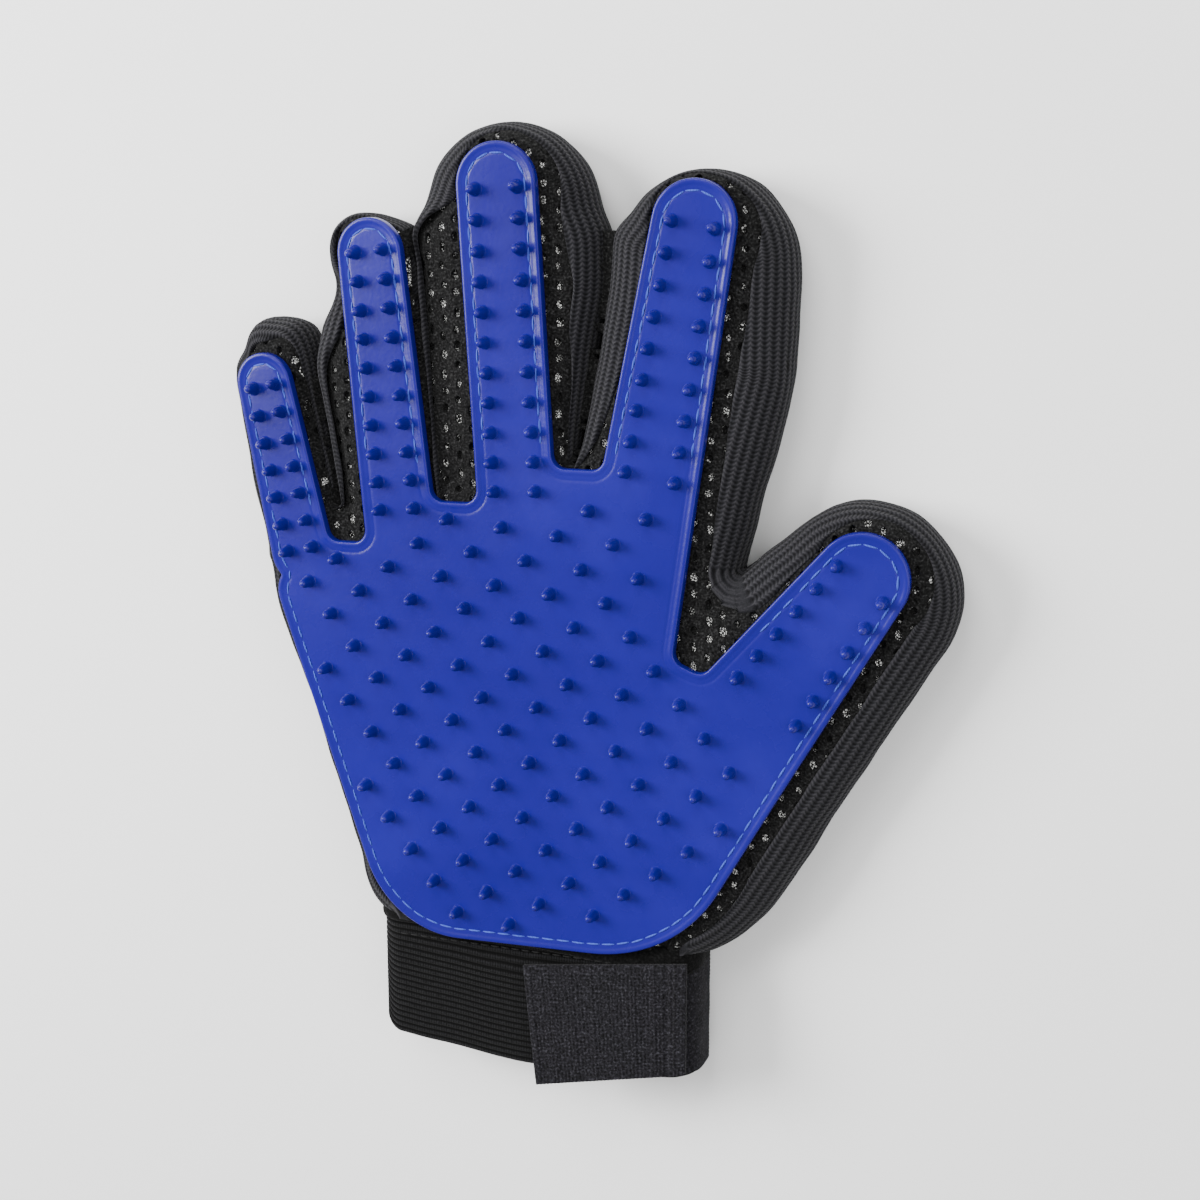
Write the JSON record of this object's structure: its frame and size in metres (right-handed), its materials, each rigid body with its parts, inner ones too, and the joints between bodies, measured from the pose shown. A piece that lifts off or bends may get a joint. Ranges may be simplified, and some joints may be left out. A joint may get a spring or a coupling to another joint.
{
  "type": "grooming glove",
  "caption": "Right-hand grooming glove with a soft-nubbed silicone palm, knit back, jointed fingers, and an elastic wrist band closed by a hook tab.",
  "frame": {"origin": "on the surface the glove lies on, at the middle of its overall box", "axes": "+Z out of the palm, up from the surface; +Y from the wrist to the fingertips; +X towards the thumb"},
  "size_m": [0.186, 0.2382, 0.0264],
  "materials": {
    "silicone": "satin blue silicone, moulded, faint flow marks",
    "pad_thread": "light blue sewing thread",
    "dark_thread": "black sewing thread",
    "mesh": "black polyester mesh with small round holes",
    "knit": "black knitted polyester, wales along the fingers",
    "lining": "pale fleece lining",
    "hem": "black turned and stitched hem",
    "elastic": "black ribbed elastic",
    "loop": "black loop pile",
    "webbing": "dark grey woven tape",
    "hooks": "black nylon hooks"
  },
  "bodies": {
    "palm": {"palm_pad": "silicone", "palm_thread": "pad_thread", "palm_mesh": "mesh", "palm_lining": "lining", "palm_knit": "knit", "wrist_hem": "hem", "hem_thread": "dark_thread", "wrist_elastic": "elastic", "loop_patch": "loop", "loop_thread": "dark_thread"},
    "little_base": {"little_base_pad": "silicone", "little_base_thread": "pad_thread", "little_base_mesh": "mesh", "little_base_knit": "knit"},
    "little_tip": {"little_tip_pad": "silicone", "little_tip_thread": "pad_thread", "little_tip_mesh": "mesh", "little_tip_knit": "knit"},
    "ring_base": {"ring_base_pad": "silicone", "ring_base_thread": "pad_thread", "ring_base_mesh": "mesh", "ring_base_knit": "knit"},
    "ring_tip": {"ring_tip_pad": "silicone", "ring_tip_thread": "pad_thread", "ring_tip_mesh": "mesh", "ring_tip_knit": "knit"},
    "middle_base": {"middle_base_pad": "silicone", "middle_base_thread": "pad_thread", "middle_base_mesh": "mesh", "middle_base_knit": "knit"},
    "middle_tip": {"middle_tip_pad": "silicone", "middle_tip_thread": "pad_thread", "middle_tip_mesh": "mesh", "middle_tip_knit": "knit"},
    "index_base": {"index_base_pad": "silicone", "index_base_thread": "pad_thread", "index_base_mesh": "mesh", "index_base_knit": "knit"},
    "index_tip": {"index_tip_pad": "silicone", "index_tip_thread": "pad_thread", "index_tip_mesh": "mesh", "index_tip_knit": "knit"},
    "thumb_base": {"thumb_base_pad": "silicone", "thumb_base_thread": "pad_thread", "thumb_base_mesh": "mesh", "thumb_base_knit": "knit"},
    "thumb_tip": {"thumb_tip_pad": "silicone", "thumb_tip_thread": "pad_thread", "thumb_tip_mesh": "mesh", "thumb_tip_knit": "knit"},
    "hook_tab": {"hook_tab": "webbing", "hook_face": "hooks", "hook_tab_thread": "dark_thread"}
  },
  "joints": [
    {"name": "little_knuckle", "type": "hinge", "parent": "palm", "child": "little_base", "pos_m": [-0.07236, 0.02603, 0.0248], "axis": [1, 0, 0], "range_deg": [-10, 70]},
    {"name": "little_middle_joint", "type": "hinge", "parent": "little_base", "child": "little_tip", "pos_m": [-0.07668, 0.04616, 0.0248], "axis": [1, 0, 0], "range_deg": [0, 80]},
    {"name": "ring_knuckle", "type": "hinge", "parent": "palm", "child": "ring_base", "pos_m": [-0.04397, 0.03795, 0.0248], "axis": [1, 0, 0], "range_deg": [-10, 70]},
    {"name": "ring_middle_joint", "type": "hinge", "parent": "ring_base", "child": "ring_tip", "pos_m": [-0.04668, 0.06549, 0.0248], "axis": [1, 0, 0], "range_deg": [0, 80]},
    {"name": "middle_knuckle", "type": "hinge", "parent": "palm", "child": "middle_base", "pos_m": [-0.0125, 0.04414, 0.0248], "axis": [1, 0, 0], "range_deg": [-10, 70]},
    {"name": "middle_middle_joint", "type": "hinge", "parent": "middle_base", "child": "middle_tip", "pos_m": [-0.01453, 0.07953, 0.0248], "axis": [1, 0, 0], "range_deg": [0, 80]},
    {"name": "index_knuckle", "type": "hinge", "parent": "palm", "child": "index_base", "pos_m": [0.0227, 0.04224, 0.0248], "axis": [1, 0, 0], "range_deg": [-10, 70]},
    {"name": "index_middle_joint", "type": "hinge", "parent": "index_base", "child": "index_tip", "pos_m": [0.02763, 0.07102, 0.0248], "axis": [1, 0, 0], "range_deg": [0, 80]},
    {"name": "thumb_knuckle", "type": "hinge", "parent": "palm", "child": "thumb_base", "pos_m": [0.05722, -0.00366, 0.0248], "axis": [0.8107, -0.5855, 0], "range_deg": [-10, 60]},
    {"name": "thumb_middle_joint", "type": "hinge", "parent": "thumb_base", "child": "thumb_tip", "pos_m": [0.06565, 0.00801, 0.0248], "axis": [0.8107, -0.5855, 0], "range_deg": [0, 70]},
    {"name": "tab_peel", "type": "hinge", "parent": "palm", "child": "hook_tab", "pos_m": [0.032, -0.096, 0.019], "axis": [0, 1, 0], "range_deg": [0, 170]}
  ]
}
